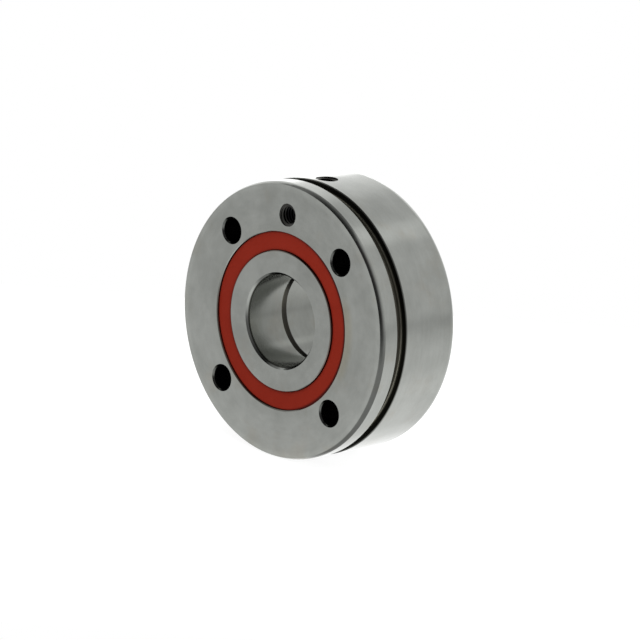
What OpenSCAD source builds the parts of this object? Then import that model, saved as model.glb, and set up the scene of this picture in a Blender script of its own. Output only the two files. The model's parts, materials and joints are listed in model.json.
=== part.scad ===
// Screw-mounted axial angular contact ball bearing: two ball rows back to back, sealed on both sides.
// Lengths are in millimetres and angles in degrees.
// The bearing axis is the Y axis, the origin is at mid-width, and the ported front face looks along -Y.
// Every piece is drawn about a local z axis with the front face upwards, and is laid over at the end.

/* [Envelope] */
// Bore of the inner ring, which is the shaft diameter
bore_d = 25; // [20:0.5:29]
// Outside diameter of the outer ring, which is the housing bore
outer_d = 75; // [72:0.5:95]
// Width over the ring faces
ring_width = 28; // [26.5:0.5:36]
// Edge break on the ring faces beside the seals
face_break = 0.15; // [0.05:0.05:0.3]

/* [Balls and raceways] */
// Ball diameter
ball_d = 7.144; // [6.4:0.001:7.6]
// Number of balls in each row
ball_count = 15; // [10:1:16]
// Diameter of the circle through the ball centres
pitch_d = 40.9; // [39.5:0.1:41.9]
// Depth of each ball row below its ring face
row_inset = 9; // [8.5:0.1:9.6]
// Contact angle, measured from the plane of the ball row
contact_angle = 60; // [45:1:65]
// Raceway radius as a share of the ball diameter
conformity = 0.53; // [0.515:0.005:0.56]
// Gap between a ball and each raceway along the contact line
race_gap = 0.06; // [0.04:0.01:0.1]
// Radial distance from the ball centres to the shoulders that carry the load
shoulder_offset = 1.2; // [1.15:0.05:1.8]
// Radial room beside a ball on the open side of each raceway
relief_gap = 0.08; // [0.05:0.01:0.12]

/* [Outer ring] */
// Axial length of the rounded lead-in on the outer edges of the outer ring
edge_lead = 1.6; // [1:0.1:2]
// Radial drop of that lead-in at the ring face
edge_drop = 0.55; // [0.4:0.05:0.8]
// Radius of that lead-in's curve, which stays above half of its chord
edge_radius = 3; // [2.5:0.1:6]
// Depth of the extraction groove's middle below the front face
groove_inset = 7.85; // [6.5:0.05:8.5]
// Width of the extraction groove
groove_w = 3.3; // [2:0.1:3.6]
// Depth of the extraction groove in the rim
groove_depth = 2; // [1:0.1:2.5]
// Edge break along the extraction groove
groove_break = 0.3; // [0.1:0.05:0.6]
// Size of the rounded corners at the foot of the extraction groove
groove_corner = 0.35; // [0.2:0.05:0.6]

/* [Fixing holes] */
// Number of fixing holes
hole_count = 4; // [3:1:8]
// Diameter of the circle through the fixing holes
hole_pcd = 58; // [57.5:0.5:61]
// Diameter of the fixing holes
hole_d = 6.8; // [5:0.1:7]
// Radial size of the chamfer at both ends of the fixing holes
hole_chamfer = 0.35; // [0.1:0.05:0.6]
// Axial length of that chamfer
hole_lead = 0.6; // [0.3:0.05:0.8]

/* [Lubrication ports] */
// Thread diameter of the face port and the rim port
port_d = 6; // [4:0.5:6.5]
// Depth of the face port's thread
face_port_depth = 9.5; // [7:0.5:10]
// Depth of the rim port's thread
rim_port_depth = 6; // [4:0.5:6.5]
// Chamfer at the mouth of each port
port_chamfer = 0.1; // [0.05:0.05:0.4]
// Diameter of the drilling that runs on from the face port
drill_d = 3; // [2.5:0.1:3.6]
// Diameter of the feed drilling from the rim port to the ball space
feed_d = 2; // [1.2:0.1:2.4]
// Included angle of a drill point
drill_point = 118; // [90:1:140]

/* [Inner ring] */
// Radial size of the chamfer where the bore meets the outer faces
bore_chamfer = 0.65; // [0.4:0.05:1.5]
// Axial length of that chamfer
bore_lead = 0.75; // [0.4:0.05:1.5]
// Chamfer where the bore meets the joint between the two halves
joint_chamfer = 0.95; // [0.5:0.05:1.2]
// Step down from the shoulders to the lands under the seal lips
seal_land_drop = 0.25; // [0.1:0.05:0.4]
// Room between the back of a seal and the end of its land
seal_land_run = 0.3; // [0.2:0.05:0.6]

/* [Cages] */
// Radial wall of the cages
cage_wall = 1.7; // [1.3:0.1:1.9]
// Gap between a ball and its pocket
pocket_gap = 0.12; // [0.06:0.01:0.2]
// Reach of the claws past the ball centres
claw_reach = 1.5; // [1.2:0.1:2]
// Diameter of the saddle that parts the claws of neighbouring pockets
saddle_d = 0.9; // [0.6:0.1:1.2]
// Chamfer on the edges of the cages
cage_chamfer = 0.2; // [0.1:0.05:0.3]
// Gap between a cage and the seal insert
cage_end_gap = 0.6; // [0.3:0.1:1]

/* [Seals] */
// Depth of the seals below the ring faces
seal_recess = 0.55; // [0.3:0.05:0.8]
// Thickness of the seal from its outer face to its back
seal_t = 1.55; // [1.3:0.05:1.7]
// Running gap between the seal lip and the inner ring
lip_gap = 0.07; // [0.05:0.01:0.15]
// Width of the lip's land along the inner ring
lip_land = 0.35; // [0.2:0.05:0.6]
// Radial thickness of the lip where it joins the seal
lip_root = 0.7; // [0.5:0.05:1]
// Edge round-off on the outer face of the seals
seal_edge = 0.2; // [0.1:0.05:0.3]
// Radial height of the bead that snaps into the outer ring
bead_height = 0.55; // [0.3:0.05:0.7]
// Width of that bead
bead_w = 1.1; // [0.8:0.1:1.3]
// Depth of the bead's upper edge below the outer face of the seal
bead_inset = 0.5; // [0.3:0.05:0.7]
// Sheet thickness of the steel inserts
insert_t = 0.4; // [0.3:0.05:0.5]
// Width of the flat of the steel inserts
insert_w = 3; // [2.4:0.1:3.3]
// Length of the turned-in flange of the steel inserts
insert_flange = 1; // [0.7:0.05:1.2]
// Rubber between the flange of an insert and the outer ring
seal_skirt = 0.4; // [0.3:0.05:0.6]
// Gap between each seal, its insert and its seat
seat_gap = 0.02; // [0.01:0.01:0.04]

/* [Hidden] */
$fn = 96;
// Length by which cutting shapes run past the solids they cut
over = 1;
// Radius of a rounded corner's arc as a share of the corner's size, so that it crosses the sides
corner_bulge = 1.03;
half_width = ring_width / 2;
bore_r = bore_d / 2;
outer_r = outer_d / 2;
pitch_r = pitch_d / 2;
ball_r = ball_d / 2;
row_z = half_width - row_inset;
ball_step = 360 / ball_count;

// Each raceway's centre is moved back along the contact line, away from its contact with the ball
race_r = conformity * ball_d;
race_shift = race_r - ball_r - race_gap;
shift_radial = race_shift * cos(contact_angle);
shift_axial = race_shift * sin(contact_angle);

// The shoulders face each other across the balls, and the open sides clear them
rib_r = pitch_r + shoulder_offset;
opening_r = pitch_r + ball_r + relief_gap;
shoulder_r = pitch_r - shoulder_offset;
land_r = pitch_r - ball_r - relief_gap;

// Seals, from the outer face down
seal_top = half_width - seal_recess;
seal_back = seal_top - seal_t;
seal_outer_r = opening_r - seat_gap;
seal_land_r = shoulder_r - seal_land_drop;
seal_land_z = seal_back - seal_land_run;
lip_r = seal_land_r + lip_gap;
bead_r = seal_outer_r + bead_height;
bead_top = seal_top - bead_inset;
bead_bottom = bead_top - bead_w;
insert_outer_r = seal_outer_r - seal_skirt;
insert_inner_r = insert_outer_r - insert_w;
insert_bottom = seal_back + insert_t - insert_flange;

// Cages, between the claws' tips and the end below the seal insert
cage_inner_r = pitch_r - cage_wall / 2;
cage_outer_r = pitch_r + cage_wall / 2;
claw_z = row_z - claw_reach;
cage_end_z = insert_bottom - cage_end_gap;

// Both ports stand at the top, midway between two fixing holes, and the face port is on their circle
top_angle = 90;
port_r = hole_pcd / 2;
hole_step = 360 / hole_count;

SIDES = ["front", "rear"];
function numbered(row, number) = str("ball_", row, number < 10 ? "_0" : "_", number);

// Lays a piece over so that its local z axis points along -Y, turned end for end for the rear side
module laid(side = "front") {
    rotate([90, 0, 0]) mirror([0, 0, side == "rear" ? 1 : 0]) children();
}

// Angle of a ball round the axis, with the rear row half a step behind the front row
function ball_angle(side, number) = top_angle + ball_step * (number - 1 + (side == "rear" ? 0.5 : 0));

// Places a child at an angle and a radius round the local z axis
module at_polar(angle, radius) {
    rotate([0, 0, angle]) translate([radius, 0, 0]) children();
}

// Blind hole with a drill point, its chamfered mouth at the origin and its depth along -z
module drilled(d, depth, chamfer) {
    point_depth = d / 2 / tan(drill_point / 2);
    rotate_extrude()
        polygon([
            [0, over],
            [d / 2 + chamfer + over, over],
            [d / 2, -chamfer],
            [d / 2, -depth],
            [0, -depth - point_depth]
        ]);
}

// Fixing hole through the whole width, chamfered at both ends
module fixing_hole() {
    hole_r = hole_d / 2;
    flare_r = hole_r + hole_chamfer * (1 + over / hole_lead);
    rotate_extrude()
        polygon([
            [0, -half_width - over],
            [flare_r, -half_width - over],
            [hole_r, -half_width + hole_lead],
            [hole_r, half_width - hole_lead],
            [flare_r, half_width + over],
            [0, half_width + over]
        ]);
}

// Plain section of the outer ring before turning
module outer_blank() {
    translate([rib_r, -half_width]) square([outer_r - rib_r, ring_width]);
}

// What is left of a square corner outside an arc about the origin, which meets both sides at a slight angle
module corner_past_arc(size) {
    difference() {
        square(size + over);
        circle(r = corner_bulge * size);
    }
}

// What the curved lead-in takes off the outer edge, on an arc through the ends of the lead-in
module edge_lead_in() {
    chord = norm([edge_drop, edge_lead]);
    rise = sqrt(edge_radius ^ 2 - (chord / 2) ^ 2);
    centre_r = outer_r - edge_drop / 2 - rise * edge_lead / chord;
    centre_z = half_width - edge_lead / 2 - rise * edge_drop / chord;
    translate([centre_r, centre_z])
        difference() {
            square([outer_r - centre_r + over, half_width - centre_z + over]);
            circle(r = edge_radius);
        }
}

// What is turned off each half of the outer ring: lead-in, raceway, ball space, seal groove and edge break
module outer_half_cuts() {
    race_z = row_z + shift_axial;
    edge_lead_in();
    translate([pitch_r - shift_radial, race_z]) circle(r = race_r);
    translate([rib_r - over, race_z]) square([opening_r - rib_r + over, half_width - race_z + over]);
    translate([rib_r, bead_bottom - seat_gap])
        square([bead_r + seat_gap - rib_r, bead_w + 2 * seat_gap]);
    polygon([
        [opening_r - over, half_width - face_break - over],
        [opening_r + face_break + over, half_width + over],
        [opening_r - over, half_width + over]
    ]);
}

// Section of the extraction groove in the rim, with rounded corners at its foot
module extraction_groove() {
    groove_z = half_width - groove_inset;
    flare = groove_w / 2 + groove_break + over;
    foot_r = outer_r - groove_depth;
    translate([0, groove_z])
        difference() {
            polygon([
                [foot_r, -groove_w / 2],
                [outer_r - groove_break, -groove_w / 2],
                [outer_r + over, -flare],
                [outer_r + over, flare],
                [outer_r - groove_break, groove_w / 2],
                [foot_r, groove_w / 2]
            ]);
            for (end = [0, 1])
                mirror([0, end])
                    translate([foot_r + groove_corner, groove_w / 2 - groove_corner])
                        mirror([1, 0]) corner_past_arc(groove_corner);
        }
}

// Face port and rim port, each with its thread-size bore and the drilling that leads on from it
module lubrication_ports() {
    rotate([0, 0, top_angle]) {
        translate([port_r, 0, half_width]) {
            drilled(port_d, face_port_depth, port_chamfer);
            drilled(drill_d, half_width + feed_d / 2, 0);
        }
        translate([outer_r, 0, 0]) rotate([0, 90, 0]) {
            drilled(port_d, rim_port_depth, port_chamfer);
            drilled(feed_d, outer_r - rib_r + over, 0);
        }
    }
}

// One-piece outer ring with a central rib that carries both raceways
module outer_ring() {
    color([0.58, 0.58, 0.56])
        laid()
            difference() {
                rotate_extrude()
                    difference() {
                        outer_blank();
                        outer_half_cuts();
                        mirror([0, 1]) outer_half_cuts();
                        extraction_groove();
                    }
                for (number = [1:hole_count])
                    at_polar(top_angle + hole_step * (number - 0.5), port_r) fixing_hole();
                lubrication_ports();
            }
}

// One half of the split inner ring, from the joint at mid-width to its outer face
module inner_ring_half(side) {
    race_z = row_z - shift_axial;
    color([0.6, 0.6, 0.58])
        laid(side)
            rotate_extrude()
                difference() {
                    polygon([
                        [bore_r, joint_chamfer],
                        [bore_r + joint_chamfer, 0],
                        [land_r, 0],
                        [land_r, race_z],
                        [shoulder_r, race_z],
                        [shoulder_r, seal_land_z - seal_land_drop],
                        [seal_land_r, seal_land_z],
                        [seal_land_r, half_width - face_break],
                        [seal_land_r - face_break, half_width],
                        [bore_r + bore_chamfer, half_width],
                        [bore_r, half_width - bore_lead]
                    ]);
                    translate([pitch_r + shift_radial, race_z]) circle(r = race_r);
                }
}

// Moulded snap cage: a ring beyond the balls, with bars that end in pairs of claws past their centres
module cage(side) {
    color([0.86, 0.82, 0.7])
        laid(side)
            difference() {
                rotate_extrude()
                    polygon([
                        [cage_inner_r, claw_z + cage_chamfer],
                        [cage_inner_r + cage_chamfer, claw_z],
                        [cage_outer_r - cage_chamfer, claw_z],
                        [cage_outer_r, claw_z + cage_chamfer],
                        [cage_outer_r, cage_end_z - cage_chamfer],
                        [cage_outer_r - cage_chamfer, cage_end_z],
                        [cage_inner_r + cage_chamfer, cage_end_z],
                        [cage_inner_r, cage_end_z - cage_chamfer]
                    ]);
                for (number = [1:ball_count]) {
                    at_polar(ball_angle(side, number), pitch_r)
                        translate([0, 0, row_z]) sphere(r = ball_r + pocket_gap);
                    at_polar(ball_angle(side, number + 0.5), cage_inner_r - over)
                        translate([0, 0, claw_z])
                            rotate([0, 90, 0]) cylinder(d = saddle_d, h = cage_wall + 2 * over);
                }
            }
}

// Rubber seal: a disc with a lip over the inner ring, a bead in the outer ring and a seat for its insert
module seal(side) {
    color([0.5, 0.16, 0.11])
        laid(side)
            rotate_extrude()
                polygon([
                    [lip_r, seal_top - seal_edge - lip_land],
                    [lip_r + lip_root, seal_back],
                    [insert_inner_r - seat_gap, seal_back],
                    [insert_inner_r - seat_gap, seal_back + insert_t + seat_gap],
                    [insert_outer_r + seat_gap, seal_back + insert_t + seat_gap],
                    [insert_outer_r + seat_gap, insert_bottom],
                    [seal_outer_r, insert_bottom],
                    [seal_outer_r, bead_bottom],
                    [bead_r - seal_edge, bead_bottom],
                    [bead_r, bead_bottom + seal_edge],
                    [bead_r, bead_top - seal_edge],
                    [bead_r - seal_edge, bead_top],
                    [seal_outer_r, bead_top],
                    [seal_outer_r, seal_top - seal_edge],
                    [seal_outer_r - seal_edge, seal_top],
                    [lip_r + seal_edge, seal_top],
                    [lip_r, seal_top - seal_edge]
                ]);
}

// Pressed steel washer that stiffens a seal, with its outer edge turned in towards the balls
module seal_insert(side) {
    color([0.42, 0.42, 0.44])
        laid(side)
            rotate_extrude()
                polygon([
                    [insert_inner_r, seal_back],
                    [insert_outer_r - insert_t, seal_back],
                    [insert_outer_r - insert_t, insert_bottom],
                    [insert_outer_r, insert_bottom],
                    [insert_outer_r, seal_back + insert_t],
                    [insert_inner_r, seal_back + insert_t]
                ]);
}

// One ball, in its place in the row
module ball(side, number) {
    color([0.75, 0.76, 0.78])
        laid(side)
            at_polar(ball_angle(side, number), pitch_r)
                translate([0, 0, row_z]) sphere(d = ball_d);
}

outer_ring();
inner_ring_half("front");  // inner_ring_front
inner_ring_half("rear");  // inner_ring_rear
cage("front");  // cage_front
cage("rear");  // cage_rear
seal("front");  // seal_front
seal("rear");  // seal_rear
seal_insert("front");  // seal_insert_front
seal_insert("rear");  // seal_insert_rear
for (row = SIDES, number = [1:ball_count])
    ball(row, number);
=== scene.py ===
"""Looks of a sealed, screw-mounted axial angular contact ball bearing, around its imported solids."""
import json
import math

import bpy
from mathutils import Matrix, Vector


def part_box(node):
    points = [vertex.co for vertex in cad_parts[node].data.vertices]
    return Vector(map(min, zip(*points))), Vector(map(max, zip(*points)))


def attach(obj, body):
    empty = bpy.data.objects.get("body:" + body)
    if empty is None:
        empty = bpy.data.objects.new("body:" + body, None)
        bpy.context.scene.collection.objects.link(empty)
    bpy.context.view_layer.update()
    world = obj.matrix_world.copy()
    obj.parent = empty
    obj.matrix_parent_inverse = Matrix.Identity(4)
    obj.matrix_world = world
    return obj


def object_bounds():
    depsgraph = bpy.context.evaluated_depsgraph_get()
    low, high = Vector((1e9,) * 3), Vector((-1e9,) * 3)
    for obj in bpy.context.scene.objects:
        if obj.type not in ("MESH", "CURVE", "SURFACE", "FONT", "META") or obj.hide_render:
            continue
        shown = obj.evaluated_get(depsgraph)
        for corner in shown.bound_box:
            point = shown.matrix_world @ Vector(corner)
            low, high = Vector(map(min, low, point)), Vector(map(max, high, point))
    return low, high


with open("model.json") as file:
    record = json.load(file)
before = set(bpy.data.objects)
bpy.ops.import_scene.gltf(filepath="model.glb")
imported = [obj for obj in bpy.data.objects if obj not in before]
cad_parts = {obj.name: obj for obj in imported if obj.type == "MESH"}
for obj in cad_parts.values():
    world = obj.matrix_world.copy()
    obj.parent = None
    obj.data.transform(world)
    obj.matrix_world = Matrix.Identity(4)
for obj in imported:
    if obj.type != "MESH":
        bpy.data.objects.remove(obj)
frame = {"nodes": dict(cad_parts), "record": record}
cad_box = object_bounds()

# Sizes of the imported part, in millimetres
MM = 0.001
mounts = {mount["name"]: mount for mount in frame["record"]["mounts"]}
rim_r = mounts["housing_seat"]["dims"]["r_mm"]
bore_r = mounts["shaft_bore"]["dims"]["r_mm"]
hole_circle_r = mounts["fixing_holes"]["dims"]["pcd_mm"] / 2
hole_count = mounts["fixing_holes"]["dims"]["count"]
hole_r = mounts["fixing_holes"]["dims"]["hole_r_mm"]
port_r = mounts["lubrication_port_face"]["dims"]["r_mm"]
half_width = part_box("outer_ring")[1].y / MM
seal_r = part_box("seal_front")[1].x / MM
seal_opening_r = 24.4
seal_lip_r = 19.07
edge_drop = 0.55
face_edge_r = rim_r - edge_drop
groove_inset = 7.85
groove_centre = groove_inset - half_width
groove_half = 1.95
groove_depth = 2.0
groove_foot_r = rim_r - groove_depth
bore_lead = (2 * half_width - mounts["shaft_bore"]["dims"]["length_mm"]) / 2
joint_half = 0.95
first_hole_angle = math.pi / 4
face_port_angle = math.pi / 2

# A drilled or bored wall's finish ends between these distances past its radius, in millimetres
wall_start = 0.02
wall_end = 0.08

# The port threads, in millimetres, and their profile in shares of the pitch
thread_pitch = 1.0
thread_depth = 0.541
thread_root = 0.86
thread_crest = 0.2
thread_bite = 0.03
thread_runout = 0.6
thread_steps = 40
cut_reach = 0.0001 * MM
merge_reach = 0.001 * MM

# Where the photograph was taken from, round the middle of the bearing
view_azimuth = math.radians(44.75)
view_elevation = math.radians(10.0)
view_swing = math.radians(5.8)
view_distance = 1.0022
view_lens = 209.64
view_shift = (0.0049, -0.0082)
view_sensor = 36.0

# What the steel mirrors: a direction, the angles where it is full and gone, and what it adds or takes
backdrop = ((-0.7, 0.71, 0.05), 5, 47, 0.43)
backdrop_middle = ((-0.7, 0.71, 0.02), 3, 13, 0.7)
lit_table = ((-0.36, 0.7, -0.62), 3, 14, 0.1)
window = ((0.14, 0.718, 0.68), 1, 9, 0.27)
dark_doorway = ((-0.45, -0.89, 0.0), 20, 27, 0.28)
dark_ceiling = ((-0.25, 0.1, 0.96), 30, 40, 0.66)

# The studio: the light that falls on the bearing, and the table top, in metres
studio_level = 0.6
table_size = 0.32
table_gap = 0.00005
table_grey = (0.25, 0.25, 0.25, 1)
table_glow = 0.88


def add_node(tree, kind, **settings):
    """A new node with its own settings."""
    made = tree.nodes.new(kind)
    for setting, value in settings.items():
        setattr(made, setting, value)
    return made


def feed(tree, socket, value):
    """Links an output to a socket, or sets the socket's own value."""
    if isinstance(value, bpy.types.NodeSocket):
        tree.links.new(value, socket)
    else:
        socket.default_value = value


def fed_node(tree, kind, values, **settings):
    """The outputs of a new node, its first inputs fed in order."""
    made = add_node(tree, kind, **settings)
    for socket, value in zip(made.inputs, values):
        feed(tree, socket, value)
    return made.outputs


def calc(tree, operation, *values):
    """The result of a Math node."""
    return fed_node(tree, "ShaderNodeMath", values, operation=operation)[0]


def times(tree, first, *others):
    """Values multiplied with each other."""
    for other in others:
        first = calc(tree, "MULTIPLY", first, other)
    return first


def weighted(tree, first, first_share, second, second_share):
    """Two values added, each times its share."""
    return calc(tree, "ADD", times(tree, first, first_share), times(tree, second, second_share))


def dimmed(tree, value, share):
    """A value less a share of itself."""
    return times(tree, value, calc(tree, "SUBTRACT", 1.0, share))


def vector_calc(tree, operation, *values):
    """The vector that a Vector Math node gives."""
    return fed_node(tree, "ShaderNodeVectorMath", values, operation=operation)["Vector"]


def vector_value(tree, operation, *values):
    """The number that a Vector Math node gives."""
    return fed_node(tree, "ShaderNodeVectorMath", values, operation=operation)["Value"]


def scaled(tree, vector, scale):
    """A vector times a number."""
    made = add_node(tree, "ShaderNodeVectorMath", operation="SCALE")
    feed(tree, made.inputs[0], vector)
    feed(tree, made.inputs["Scale"], scale)
    return made.outputs["Vector"]


def split(tree, vector):
    """The three parts of a vector."""
    return fed_node(tree, "ShaderNodeSeparateXYZ", (vector,))


def joined(tree, *parts):
    """A vector from three numbers."""
    return fed_node(tree, "ShaderNodeCombineXYZ", parts)[0]


def ramp(tree, value, low, high, start=0.0, end=1.0):
    """A smooth step of a value, from start at low to end at high."""
    made = add_node(tree, "ShaderNodeMapRange", interpolation_type="SMOOTHSTEP")
    feed(tree, made.inputs["Value"], value)
    feed(tree, made.inputs["From Min"], low)
    feed(tree, made.inputs["From Max"], high)
    feed(tree, made.inputs["To Min"], start)
    feed(tree, made.inputs["To Max"], end)
    return made.outputs["Result"]


def within(tree, distance, radius):
    """1 inside a wall of this radius, and 0 just past it."""
    return ramp(tree, distance, radius + wall_start, radius + wall_end, 1.0, 0.0)


def blend_colors(tree, factor, first, second, mode="MIX"):
    """Two colours mixed by a factor."""
    made = add_node(tree, "ShaderNodeMix", data_type="RGBA", blend_type=mode)
    feed(tree, made.inputs["Factor"], factor)
    feed(tree, made.inputs["A"], first)
    feed(tree, made.inputs["B"], second)
    return made.outputs["Result"]


def noise(tree, vector, scale, detail=2.0, roughness=0.5):
    """The value of a noise texture."""
    made = add_node(tree, "ShaderNodeTexNoise")
    feed(tree, made.inputs["Vector"], vector)
    feed(tree, made.inputs["Scale"], scale)
    feed(tree, made.inputs["Detail"], detail)
    feed(tree, made.inputs["Roughness"], roughness)
    return made.outputs["Fac"]


def start_group(name, inputs, outputs):
    """A new node group with its sockets, and the sockets to build from and to."""
    tree = bpy.data.node_groups.new(name, "ShaderNodeTree")
    for label, kind in inputs:
        tree.interface.new_socket(label, in_out="INPUT", socket_type=f"NodeSocket{kind}")
    for label, kind in outputs:
        tree.interface.new_socket(label, in_out="OUTPUT", socket_type=f"NodeSocket{kind}")
    return tree, tree.nodes.new("NodeGroupInput").outputs, tree.nodes.new("NodeGroupOutput").inputs


def place_group(tree, group, **values):
    """A group placed in a tree, its inputs named with underscores."""
    made = add_node(tree, "ShaderNodeGroup", node_tree=group)
    for label, value in values.items():
        feed(tree, made.inputs[label.replace("_", " ").capitalize()], value)
    return made.outputs


def ring_place_group():
    """Where a point is on a ring about the Y axis, in millimetres, and which way is outwards there."""
    tree, given, result = start_group(
        "ring place",
        [("Position", "Vector")],
        [
            ("Millimetres", "Vector"),
            ("Radius", "Float"),
            ("Axial", "Float"),
            ("Angle", "Float"),
            ("Way", "Vector"),
        ],
    )
    millimetres = scaled(tree, given["Position"], 1 / MM)
    x, y, z = split(tree, millimetres)
    flat = joined(tree, x, 0.0, z)
    feed(tree, result["Millimetres"], millimetres)
    feed(tree, result["Radius"], vector_value(tree, "LENGTH", flat))
    feed(tree, result["Axial"], y)
    feed(tree, result["Angle"], calc(tree, "ARCTAN2", z, x))
    feed(tree, result["Way"], vector_calc(tree, "NORMALIZE", flat))
    return tree


def soft_band_group():
    """1 within a half width of a centre, falling to 0 over a soft edge."""
    tree, given, result = start_group(
        "soft band",
        [("Value", "Float"), ("Centre", "Float"), ("Half width", "Float"), ("Soft edge", "Float")],
        [("Mask", "Float")],
    )
    away = calc(tree, "ABSOLUTE", calc(tree, "SUBTRACT", given["Value"], given["Centre"]))
    outer = calc(tree, "ADD", given["Half width"], given["Soft edge"])
    feed(tree, result["Mask"], ramp(tree, away, given["Half width"], outer, 1.0, 0.0))
    return tree


def hole_circle_group():
    """1 inside the holes of an even circle of holes through the faces."""
    tree, given, result = start_group(
        "hole circle",
        [
            ("Radius", "Float"),
            ("Angle", "Float"),
            ("First angle", "Float"),
            ("Step", "Float"),
            ("Circle radius", "Float"),
            ("Hole radius", "Float"),
        ],
        [("Mask", "Float")],
    )
    half_step = calc(tree, "DIVIDE", given["Step"], 2.0)
    shifted = calc(tree, "ADD", calc(tree, "SUBTRACT", given["Angle"], given["First angle"]), half_step)
    folded = calc(tree, "SUBTRACT", calc(tree, "FLOORED_MODULO", shifted, given["Step"]), half_step)
    along = times(tree, given["Radius"], calc(tree, "COSINE", folded))
    across = times(tree, given["Radius"], calc(tree, "SINE", folded))
    from_circle = calc(tree, "SUBTRACT", along, given["Circle radius"])
    from_hole = vector_value(tree, "LENGTH", joined(tree, from_circle, across, 0.0))
    inner = calc(tree, "ADD", given["Hole radius"], wall_start)
    outer = calc(tree, "ADD", given["Hole radius"], wall_end)
    feed(tree, result["Mask"], ramp(tree, from_hole, inner, outer, 1.0, 0.0))
    return tree


def ground_lay_group():
    """Fine lines left by grinding or turning, which run round the axis."""
    tree, given, result = start_group(
        "ground lay",
        [("Way", "Vector"), ("Across", "Float"), ("Spacing", "Float"), ("Streaks", "Float")],
        [("Height", "Float"), ("Tone", "Float")],
    )
    way_x, _, way_z = split(tree, given["Way"])
    lines = calc(tree, "DIVIDE", given["Across"], given["Spacing"])
    along_x = times(tree, way_x, given["Streaks"])
    along_z = times(tree, way_z, given["Streaks"])
    fine = noise(tree, joined(tree, lines, along_x, along_z), 1.0, 3.0, 0.65)
    broad = noise(tree, joined(tree, calc(tree, "DIVIDE", lines, 7.0), along_x, along_z), 1.0, 2.0, 0.5)
    feed(tree, result["Height"], fine)
    feed(tree, result["Tone"], weighted(tree, fine, 0.4, broad, 0.6))
    return tree


def shop_mottle_group():
    """Slow changes of tone over a handled surface, and the few spots where its oil has dried brown."""
    tree, given, result = start_group(
        "shop mottle",
        [("Position", "Vector"), ("Patch size", "Float")],
        [("Tone", "Float"), ("Stain", "Float")],
    )
    patch = scaled(tree, given["Position"], calc(tree, "DIVIDE", 1.0, given["Patch size"]))
    feed(tree, result["Tone"], noise(tree, patch, 1.0, 4.0, 0.55))
    shifted = vector_calc(tree, "ADD", patch, (17.0, 5.0, 31.0))
    feed(tree, result["Stain"], ramp(tree, noise(tree, shifted, 0.8, 5.0, 0.6), 0.52, 0.72))
    return tree


def turned_normal_group():
    """A turned surface's normal without any slight slant round the axis, so that no facet is mirrored."""
    tree, given, result = start_group(
        "turned normal",
        [("Normal", "Vector"), ("Way", "Vector")],
        [("Normal", "Vector")],
    )
    round_way = vector_calc(tree, "CROSS_PRODUCT", given["Way"], (0.0, 1.0, 0.0))
    slant = vector_value(tree, "DOT_PRODUCT", given["Normal"], round_way)
    slight = ramp(tree, calc(tree, "ABSOLUTE", slant), 0.04, 0.08, 1.0, 0.0)
    taken = scaled(tree, round_way, times(tree, slant, slight))
    straight = vector_calc(tree, "SUBTRACT", given["Normal"], taken)
    feed(tree, result["Normal"], vector_calc(tree, "NORMALIZE", straight))
    return tree


RING_PLACE = ring_place_group()
SOFT_BAND = soft_band_group()
HOLE_CIRCLE = hole_circle_group()
GROUND_LAY = ground_lay_group()
SHOP_MOTTLE = shop_mottle_group()
TURNED_NORMAL = turned_normal_group()


def band(tree, value, centre, reach, soft_edge):
    """The mask of a soft band that reaches equally far to both sides of its centre."""
    return place_group(
        tree, SOFT_BAND, value=value, centre=centre, half_width=reach, soft_edge=soft_edge
    )["Mask"]


def hole_mask(tree, place, first_angle, step, radius):
    """The mask of holes of one radius, evenly placed on the hole circle."""
    return place_group(
        tree,
        HOLE_CIRCLE,
        radius=place["Radius"],
        angle=place["Angle"],
        first_angle=first_angle,
        step=step,
        circle_radius=hole_circle_r,
        hole_radius=radius,
    )["Mask"]


def start_material(name):
    """A new material, its Principled BSDF and its Object coordinates."""
    made = bpy.data.materials.new(name)
    made.use_nodes = True
    tree = made.node_tree
    shader = next(node for node in tree.nodes if node.type == "BSDF_PRINCIPLED")
    coordinates = tree.nodes.new("ShaderNodeTexCoord")
    return made, tree, shader.inputs, coordinates.outputs


def relief(tree, height, strength, distance, normal=None):
    """The normal of a bump of a real height, in millimetres, on the surface's own normal or another."""
    made = add_node(tree, "ShaderNodeBump")
    made.inputs["Strength"].default_value = strength
    made.inputs["Distance"].default_value = distance * MM
    feed(tree, made.inputs["Height"], height)
    if normal is not None:
        feed(tree, made.inputs["Normal"], normal)
    return made.outputs["Normal"]


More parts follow.
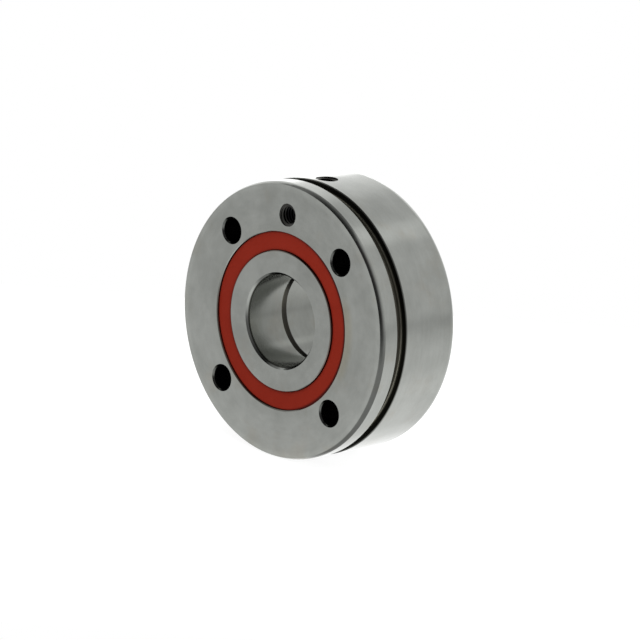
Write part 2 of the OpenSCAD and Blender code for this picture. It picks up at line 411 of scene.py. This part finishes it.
def outer_areas(tree, place):
    """Areas of the outer ring with a tint of their own, some a finish and some painted light and shade:
    masks, tints and added roughness.
    """
    radius = place["Radius"]
    axial = place["Axial"]
    x, y, z = split(tree, place["Millimetres"])
    sideways = calc(tree, "DIVIDE", x, radius)
    upward = calc(tree, "DIVIDE", z, radius)
    at_face = ramp(tree, calc(tree, "ABSOLUTE", axial), half_width - 0.3, half_width - 0.1)
    # Painted highlight: the face is lighter in a band along its outer edge.
    face_edge = times(tree, at_face, band(tree, radius, face_edge_r, 0.5, 1.5))
    # Painted shade: the face is a little darker round the seal's recessed opening.
    by_seal = times(tree, at_face, band(tree, radius, seal_opening_r, 0.5, 3.0))
    # Painted light: the outer part of the face is lighter towards the bottom.
    face_low = times(
        tree,
        at_face,
        ramp(tree, radius, hole_circle_r, face_edge_r - 2.0),
        ramp(tree, z, -28.0, -12.0, 1.0, 0.0),
    )
    oil_mark = times(
        tree,
        at_face,
        ramp(tree, y, -1.0, 0.0, 1.0, 0.0),
        band(tree, radius, seal_opening_r, 0.8, 2.6),
        ramp(tree, sideways, 0.86, 0.96),
    )
    # Painted shade: a thin dark line on the face at the seal's opening, strongest towards the lower left.
    lower_left = ramp(tree, calc(tree, "ADD", sideways, upward), -1.1, -0.3, 1.0, 0.0)
    opening_edge = times(tree, at_face, lower_left, band(tree, radius, seal_opening_r - 0.2, 0.15, 0.1))
    groove = times(
        tree,
        band(tree, axial, groove_centre, groove_half, 0.05),
        ramp(tree, radius, groove_foot_r - 0.3, groove_foot_r - 0.1),
    )
    off_foot = ramp(tree, radius, groove_foot_r + 0.2, groove_foot_r + 0.65)
    below_rim = ramp(tree, radius, rim_r - 0.3, rim_r - 0.02, 1.0, 0.0)
    groove_wall = times(tree, groove, off_foot, below_rim)
    groove_foot = dimmed(tree, groove, off_foot)
    # The walls of the fixing holes and ports are darker: partly their drilled finish, and partly painted
    # shade inside the holes.
    holes = hole_mask(tree, place, first_hole_angle, math.tau / hole_count, hole_r)
    face_port = hole_mask(tree, place, face_port_angle, math.tau, port_r)
    face_port = times(tree, face_port, ramp(tree, axial, 0.0, 2.0, 1.0, 0.0))
    from_port = vector_value(tree, "LENGTH", joined(tree, x, y, 0.0))
    rim_port = times(tree, within(tree, from_port, port_r), ramp(tree, z, seal_r, seal_r + 1.0))
    drilled = calc(tree, "MAXIMUM", calc(tree, "MAXIMUM", holes, face_port), rim_port)
    return (
        (face_edge, (1.1, 1.1, 1.1, 1), 0.0),
        (face_low, (1.09, 1.09, 1.09, 1), 0.0),
        (by_seal, (0.95, 0.95, 0.945, 1), 0.0),
        (oil_mark, (0.96, 0.91, 0.82, 1), 0.02),
        (opening_edge, (0.4, 0.37, 0.35, 1), 0.0),
        (groove_wall, (0.09, 0.088, 0.08, 1), 0.2),
        (groove_foot, (0.82, 0.77, 0.67, 1), 0.3),
        (drilled, (0.14, 0.137, 0.13, 1), 0.12),
    )


def inner_areas(tree, place):
    """Areas of the inner ring with a tint of their own, some a finish and some painted shade: masks, tints
    and added roughness.
    """
    radius = place["Radius"]
    from_middle = calc(tree, "ABSOLUTE", place["Axial"])
    upward = calc(tree, "DIVIDE", split(tree, place["Millimetres"])[2], radius)
    bore = within(tree, radius, bore_r)
    # A thin dark line where the bore's lead-in meets the bore.
    bore_line = times(
        tree,
        band(tree, from_middle, half_width - bore_lead, 0.16, 0.2),
        ramp(tree, radius, bore_r + 0.1, bore_r + 0.3, 1.0, 0.0),
    )
    # Painted shade: a dark line on the inner ring's edge beside the seal's lip, except towards the bottom.
    lip_line = times(
        tree,
        ramp(tree, from_middle, half_width - 0.6, half_width - 0.5),
        ramp(tree, upward, -0.75, -0.5),
        ramp(tree, radius, seal_lip_r - 0.4, seal_lip_r - 0.2),
    )
    near_joint = ramp(tree, from_middle, joint_half - 0.05, joint_half + 0.05, 1.0, 0.0)
    joint = dimmed(tree, near_joint, bore)
    joint_middle = times(tree, joint, ramp(tree, from_middle, 0.1, 0.4, 1.0, 0.0))
    return (
        (1.0, (0.94, 0.94, 0.94, 1), 0.0),
        (bore, (0.81, 0.81, 0.8, 1), 0.06),
        (bore_line, (0.2, 0.195, 0.18, 1), 0.1),
        (lip_line, (0.5, 0.4, 0.38, 1), 0.0),
        (joint, (0.2, 0.19, 0.17, 1), 0.1),
        (joint_middle, (1.6, 1.58, 1.5, 1), 0.0),
    )


def ring_steel(name, areas):
    """Ground bearing steel, with its lay and handling marks and its tinted areas, some another finish and
    some painted light and shade.
    """
    material, tree, shader, coordinates = start_material(name)
    place = place_group(tree, RING_PLACE, position=coordinates["Object"])
    facing = calc(tree, "ABSOLUTE", split(tree, coordinates["Normal"])[1])
    on_face = ramp(tree, facing, 0.9, 0.97)
    on_wall = calc(tree, "SUBTRACT", 1.0, on_face)
    way = place["Way"]
    face_lay = place_group(tree, GROUND_LAY, way=way, across=place["Radius"], spacing=0.2, streaks=9.0)
    wall_lay = place_group(tree, GROUND_LAY, way=way, across=place["Axial"], spacing=0.14, streaks=5.0)
    height = weighted(tree, face_lay["Height"], on_face, wall_lay["Height"], on_wall)
    lay_tone = weighted(tree, face_lay["Tone"], on_face, wall_lay["Tone"], on_wall)
    mottle = place_group(tree, SHOP_MOTTLE, position=place["Millimetres"], patch_size=9.0)

    tone = weighted(tree, lay_tone, 0.3, mottle["Tone"], 0.7)
    toned = ramp(tree, tone, 0.3, 0.7)
    color = blend_colors(tree, toned, (0.324, 0.335, 0.315, 1), (0.404, 0.417, 0.394, 1))
    color = blend_colors(tree, times(tree, mottle["Stain"], 0.2), color, (0.3, 0.25, 0.18, 1))
    rough = calc(tree, "ADD", 0.14, times(tree, on_face, 0.06))
    rough = calc(tree, "ADD", rough, ramp(tree, tone, 0.25, 0.75, -0.02, 0.03))
    for mask, tint, rougher in areas(tree, place):
        color = blend_colors(tree, mask, color, tint, "MULTIPLY")
        rough = calc(tree, "ADD", rough, times(tree, mask, rougher))
    feed(tree, shader["Base Color"], color)
    shader["Metallic"].default_value = 1.0
    feed(tree, shader["Roughness"], rough)
    turned = place_group(tree, TURNED_NORMAL, normal=coordinates["Normal"], way=way)["Normal"]
    to_world = add_node(
        tree, "ShaderNodeVectorTransform", vector_type="NORMAL", convert_from="OBJECT", convert_to="WORLD"
    )
    feed(tree, to_world.inputs[0], turned)
    feed(tree, shader["Normal"], relief(tree, height, 0.2, 0.003, to_world.outputs[0]))
    return material


def thread_steel():
    """Tapped threads: painted lighter near the rim port's mouth, and turned black further in by painted
    shade.
    """
    material, tree, shader, coordinates = start_material("tapped_thread_steel")
    place = place_group(tree, RING_PLACE, position=coordinates["Object"])
    mottle = place_group(tree, SHOP_MOTTLE, position=place["Millimetres"], patch_size=1.5)
    face_depth = calc(tree, "ADD", place["Axial"], half_width)
    rim_depth = calc(tree, "SUBTRACT", rim_r, place["Radius"])
    # Painted shade: the threads darken to near black deeper into each port.
    painted_depth_shade = ramp(tree, calc(tree, "MINIMUM", face_depth, rim_depth), 0.8, 3.0)
    # Painted light: near the rim port's mouth the threads are lighter than those in the face port.
    by_rim = ramp(tree, rim_depth, 1.0, 2.5, 1.0, 0.0)
    dull = blend_colors(tree, by_rim, (0.038, 0.0376, 0.0342, 1), (0.13, 0.128, 0.118, 1))
    bright = blend_colors(tree, by_rim, (0.064, 0.0633, 0.0584, 1), (0.2, 0.198, 0.183, 1))
    color = blend_colors(tree, mottle["Tone"], dull, bright)
    color = blend_colors(tree, painted_depth_shade, color, (0.012, 0.012, 0.013, 1))
    feed(tree, shader["Base Color"], color)
    shader["Metallic"].default_value = 1.0
    feed(tree, shader["Roughness"], ramp(tree, mottle["Tone"], 0.2, 0.8, 0.16, 0.26))
    return material


def seal_rubber():
    """Matt red-brown nitrile rubber, with a fine moulded skin and painted shadow along its edges."""
    material, tree, shader, coordinates = start_material("seal_red_brown_rubber")
    place = place_group(tree, RING_PLACE, position=coordinates["Object"])
    mottle = place_group(tree, SHOP_MOTTLE, position=place["Millimetres"], patch_size=5.0)
    skin = noise(tree, place["Millimetres"], 9.0, 4.0, 0.6)
    color = blend_colors(tree, mottle["Tone"], (0.2, 0.0132, 0.005, 1), (0.238, 0.0188, 0.0083, 1))
    # Painted shadow: a dark band along the seal's outer edge, wider and stronger towards the right.
    x = split(tree, place["Millimetres"])[0]
    painted_shadow_width = ramp(tree, x, 0.0, 18.0, 0.4, 1.0)
    painted_shadow_share = ramp(tree, x, 0.0, 18.0, 0.7, 1.0)
    outer_edge = times(tree, band(tree, place["Radius"], seal_r, painted_shadow_width, 0.75), painted_shadow_share)
    # Painted shade: a faint dark band along the seal's inner edge at its lip.
    inner_edge = times(tree, band(tree, place["Radius"], seal_lip_r, 0.2, 0.6), 0.3)
    color = blend_colors(tree, outer_edge, color, (0.05, 0.0025, 0.0015, 1))
    color = blend_colors(tree, inner_edge, color, (0.06, 0.004, 0.002, 1))
    feed(tree, shader["Base Color"], color)
    feed(tree, shader["Roughness"], ramp(tree, skin, 0.3, 0.7, 0.6, 0.78))
    shader["Specular IOR Level"].default_value = 0.12
    feed(tree, shader["Normal"], relief(tree, skin, 0.3, 0.03))
    return material


def pressed_insert_steel():
    """Dull pressed steel sheet with a faint orange peel."""
    material, tree, shader, coordinates = start_material("pressed_insert_steel")
    position = scaled(tree, coordinates["Object"], 1 / MM)
    mottle = place_group(tree, SHOP_MOTTLE, position=position, patch_size=2.5)
    peel = noise(tree, position, 4.0, 3.0, 0.5)
    color = blend_colors(tree, mottle["Tone"], (0.2, 0.2, 0.205, 1), (0.34, 0.34, 0.345, 1))
    feed(tree, shader["Base Color"], color)
    shader["Metallic"].default_value = 1.0
    feed(tree, shader["Roughness"], ramp(tree, peel, 0.3, 0.7, 0.32, 0.48))
    feed(tree, shader["Normal"], relief(tree, peel, 0.2, 0.02))
    return material


def cage_polyamide():
    """Moulded ivory polyamide with flow marks and a fine eroded skin."""
    material, tree, shader, coordinates = start_material("cage_ivory_polyamide")
    position = scaled(tree, coordinates["Object"], 1 / MM)
    mottle = place_group(tree, SHOP_MOTTLE, position=position, patch_size=6.0)
    skin = noise(tree, position, 12.0, 3.0, 0.55)
    color = blend_colors(tree, mottle["Tone"], (0.64, 0.56, 0.38, 1), (0.76, 0.7, 0.53, 1))
    feed(tree, shader["Base Color"], color)
    feed(tree, shader["Roughness"], ramp(tree, skin, 0.3, 0.7, 0.42, 0.58))
    shader["Subsurface Weight"].default_value = 0.08
    feed(tree, shader["Normal"], relief(tree, skin, 0.2, 0.02))
    return material


def ball_steel():
    """Lapped chrome steel, nearly a mirror, with a film of grease."""
    material, tree, shader, coordinates = start_material("lapped_ball_steel")
    position = scaled(tree, coordinates["Object"], 1 / MM)
    mottle = place_group(tree, SHOP_MOTTLE, position=position, patch_size=2.0)
    color = blend_colors(tree, mottle["Tone"], (0.5, 0.505, 0.51, 1), (0.6, 0.605, 0.61, 1))
    feed(tree, shader["Base Color"], color)
    shader["Metallic"].default_value = 1.0
    feed(tree, shader["Roughness"], ramp(tree, mottle["Tone"], 0.3, 0.7, 0.05, 0.14))
    return material


def dress(node, material):
    """Gives a CAD node its material."""
    node.data.materials.clear()
    node.data.materials.append(material)


def dress_nodes():
    """A finish for every CAD node, chosen by its slot in the record."""
    outer = ring_steel("ground_outer_ring_steel", outer_areas)
    inner = ring_steel("ground_inner_ring_steel", inner_areas)
    finishes = {
        "seal_rubber": seal_rubber(),
        "insert_steel": pressed_insert_steel(),
        "cage_polyamide": cage_polyamide(),
        "ball_steel": ball_steel(),
        "ring_steel": inner,
    }
    for part in frame["record"]["subparts"]:
        node = frame["nodes"][part["node"]]
        dress(node, outer if part["node"] == "outer_ring" else finishes[part["material_slot"]])


def select_vertices(test):
    """Selects the vertices of the active mesh that pass a test, in edit mode."""
    bpy.ops.mesh.select_mode(type="VERT")
    bpy.ops.mesh.select_all(action="DESELECT")
    bpy.ops.object.mode_set(mode="OBJECT")
    for vertex in bpy.context.object.data.vertices:
        vertex.select = test(vertex.co)
    bpy.ops.object.mode_set(mode="EDIT")


def cut_flat(height, way):
    """Cuts off the active mesh past a height, up or down, and closes it there."""
    bpy.ops.mesh.select_all(action="SELECT")
    bpy.ops.mesh.bisect(
        plane_co=(0, 0, height), plane_no=(0, 0, way), use_fill=True, clear_outer=True, threshold=cut_reach
    )


def port_thread(name, mouth, turn, length):
    """The right-hand ridge of a tapped port, from its mouth inwards: a sweep cut flat at its ends."""
    root_r = (port_r + thread_bite) * MM
    crest_r = (port_r - thread_depth * thread_pitch) * MM
    root_w = thread_root * thread_pitch * MM
    crest_w = thread_crest * thread_pitch * MM
    turns = math.ceil(length / thread_pitch) + 2
    middle_r = (root_r + crest_r) / 2
    start = -(length + 1.5 * thread_pitch) * MM

    bpy.ops.object.select_all(action="DESELECT")
    bpy.ops.mesh.primitive_plane_add(size=1, rotation=(math.pi / 2, 0, 0))
    thread = bpy.context.object
    thread.name = name
    thread.data.name = name
    bpy.ops.object.transform_apply(location=False, rotation=True, scale=False)
    bpy.ops.object.mode_set(mode="EDIT")
    bpy.ops.mesh.select_all(action="SELECT")
    bpy.ops.transform.resize(value=(root_r - crest_r, 1, root_w), center_override=(0, 0, 0))
    bpy.ops.transform.translate(value=(middle_r, 0, start))
    bpy.ops.mesh.delete(type="ONLY_FACE")
    select_vertices(lambda place: place.x < middle_r)
    bpy.ops.transform.resize(value=(1, 1, crest_w / root_w), center_override=(crest_r, 0, start))
    bpy.ops.object.mode_set(mode="OBJECT")

    bpy.ops.object.modifier_add(type="SCREW")
    sweep = thread.modifiers[-1]
    sweep.axis = "Z"
    sweep.angle = math.tau
    sweep.screw_offset = thread_pitch * MM
    sweep.iterations = turns
    sweep.steps = thread_steps
    sweep.render_steps = thread_steps
    bpy.ops.object.modifier_apply(modifier=sweep.name)

    bpy.ops.object.mode_set(mode="EDIT")
    cut_flat(0, 1)
    cut_flat(-length * MM, -1)
    bpy.ops.mesh.select_all(action="SELECT")
    bpy.ops.mesh.remove_doubles(threshold=merge_reach)
    bpy.ops.mesh.normals_make_consistent(inside=False)
    bpy.ops.object.mode_set(mode="OBJECT")

    thread.rotation_euler = turn
    thread.location = mouth
    bpy.ops.object.transform_apply(location=True, rotation=True, scale=True)
    bpy.ops.object.shade_smooth_by_angle(angle=math.radians(30))
    return thread


def cut_port_threads():
    """Threads in the face port and the rim port, which move with the outer ring."""
    steel = thread_steel()
    for name, mount_name, turn in (
        ("face_port_thread", "lubrication_port_face", (math.pi / 2, 0, 0)),
        ("rim_port_thread", "lubrication_port_rim", (0, 0, 0)),
    ):
        mount = mounts[mount_name]
        mouth = Vector(mount["pos_m"])
        thread = port_thread(name, mouth, turn, mount["dims"]["length_mm"] - thread_runout)
        thread.data.materials.append(steel)
        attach(thread, "outer_ring")


def seen_rays(tree):
    """1 for rays from the camera, a reflection or a clear surface, and the Light Path node's outputs."""
    path = tree.nodes.new("ShaderNodeLightPath").outputs
    seen = calc(tree, "MAXIMUM", path["Is Camera Ray"], path["Is Glossy Ray"])
    return calc(tree, "MAXIMUM", seen, path["Is Transmission Ray"]), path


def toward(tree, way, target, near, far):
    """1 within an angle of a direction, falling to 0 at a wider angle, in degrees."""
    nearness = vector_value(tree, "DOT_PRODUCT", way, Vector(target).normalized())
    return ramp(tree, nearness, math.cos(math.radians(far)), math.cos(math.radians(near)))


def room_surround(tree, way):
    """The room that the steel mirrors, by direction: a pale table and walls with a dim line where they
    meet, a white backdrop behind the bearing, a window, a dark doorway and ceiling, and a dark front."""
    x, y, z = split(tree, way)
    from_line = calc(tree, "ABSOLUTE", calc(tree, "ADD", z, 0.03))
    walls = ramp(tree, from_line, 0.0, 0.12, 0.67, 0.78)
    under = calc(tree, "MINIMUM", calc(tree, "MAXIMUM", calc(tree, "SUBTRACT", -0.1, z), 0.0), 0.5)
    surround = calc(tree, "ADD", walls, times(tree, under, 0.71))
    for target, near, far, added in (backdrop, backdrop_middle, lit_table, window):
        lit = times(tree, toward(tree, way, target, near, far), added)
        surround = calc(tree, "ADD", surround, lit)
    table = ramp(tree, z, -0.5, 0.2, 1.0, 0.0)
    table_front = times(tree, ramp(tree, y, 0.6, 0.69, 0.71, 0.0), ramp(tree, y, -0.4, -0.18, 0.1, 1.0))
    room_front = times(tree, ramp(tree, y, -0.1, 0.69, 1.0, 0.0), ramp(tree, y, -0.85, -0.5, 0.3, 0.95))
    lower_part = times(tree, table, calc(tree, "SUBTRACT", table_front, room_front))
    front = calc(tree, "ADD", room_front, lower_part)
    surround = dimmed(tree, surround, times(tree, front, ramp(tree, x, -0.6, -0.25)))
    for target, near, far, share in (dark_doorway, dark_ceiling):
        surround = dimmed(tree, surround, times(tree, toward(tree, way, target, near, far), share))
    return surround


def studio_world():
    """A white studio with a plain level of light, and the room's surround in the steel."""
    world = bpy.data.worlds.new("white_studio")
    world.use_nodes = True
    bpy.context.scene.world = world
    tree = world.node_tree
    background = next(node for node in tree.nodes if node.type == "BACKGROUND")
    seen, path = seen_rays(tree)
    way = tree.nodes.new("ShaderNodeTexCoord").outputs["Generated"]
    glossy = path["Is Glossy Ray"]
    plain = calc(tree, "ADD", times(tree, seen, 1 - studio_level), studio_level)
    mirrored = times(tree, room_surround(tree, way), glossy)
    background.inputs["Color"].default_value = (1, 1, 1, 1)
    feed(tree, background.inputs["Strength"], calc(tree, "ADD", dimmed(tree, plain, glossy), mirrored))


def studio_floor():
    """A pale table top that shows white, with the bearing's soft shadow."""
    bpy.ops.object.select_all(action="DESELECT")
    bpy.ops.mesh.primitive_plane_add(size=table_size, rotation=(0, 0, view_azimuth))
    floor = bpy.context.object
    floor.name = "table_top"
    floor.location.z = cad_box[0].z - table_gap
    material = bpy.data.materials.new("pale_table_paper")
    material.use_nodes = True
    tree = material.node_tree
    tree.nodes.clear()
    seen, _ = seen_rays(tree)
    paper = add_node(tree, "ShaderNodeBsdfDiffuse")
    paper.inputs["Color"].default_value = table_grey
    glow = add_node(tree, "ShaderNodeEmission")
    feed(tree, glow.inputs["Strength"], times(tree, seen, table_glow))
    both = add_node(tree, "ShaderNodeAddShader")
    feed(tree, both.inputs[0], paper.outputs[0])
    feed(tree, both.inputs[1], glow.outputs[0])
    output = add_node(tree, "ShaderNodeOutputMaterial")
    feed(tree, output.inputs["Surface"], both.outputs[0])
    floor.data.materials.append(material)
    floor.visible_glossy = False


def soft_lamp(name, place, width, power):
    """A soft area lamp that faces the bearing and isn't mirrored in its steel."""
    data = bpy.data.lights.new(name, "AREA")
    data.shape = "DISK"
    data.size = width
    data.energy = power
    lamp = bpy.data.objects.new(name, data)
    bpy.context.scene.collection.objects.link(lamp)
    lamp.location = place
    lamp.rotation_euler = (-Vector(place)).to_track_quat("-Z", "Y").to_euler()
    lamp.visible_glossy = False


def photo_camera():
    """A camera where the photograph was taken from, swung so that the bearing's ports stand on top."""
    data = bpy.data.cameras.new("photo_camera")
    data.lens = view_lens
    data.sensor_width = view_sensor
    data.shift_x, data.shift_y = view_shift
    camera = bpy.data.objects.new("photo_camera", data)
    bpy.context.scene.collection.objects.link(camera)
    camera.matrix_world = (
        Matrix.Rotation(-view_swing, 4, "Y")
        @ Matrix.Rotation(view_azimuth, 4, "Z")
        @ Matrix.Rotation(math.pi / 2 - view_elevation, 4, "X")
        @ Matrix.Translation((0, 0, view_distance))
    )
    bpy.context.scene.camera = camera


photo_camera()
dress_nodes()
cut_port_threads()
studio_world()
studio_floor()
soft_lamp("overhead_softbox", (0.15, -0.35, 0.9), 0.8, 5.0)
soft_lamp("right_softbox", (1.0, -0.5, 0.3), 0.5, 10.0)
soft_lamp("back_softbox", (0.3, 0.9, 0.5), 0.7, 5.5)

bpy.context.scene.view_settings.view_transform = "Standard"
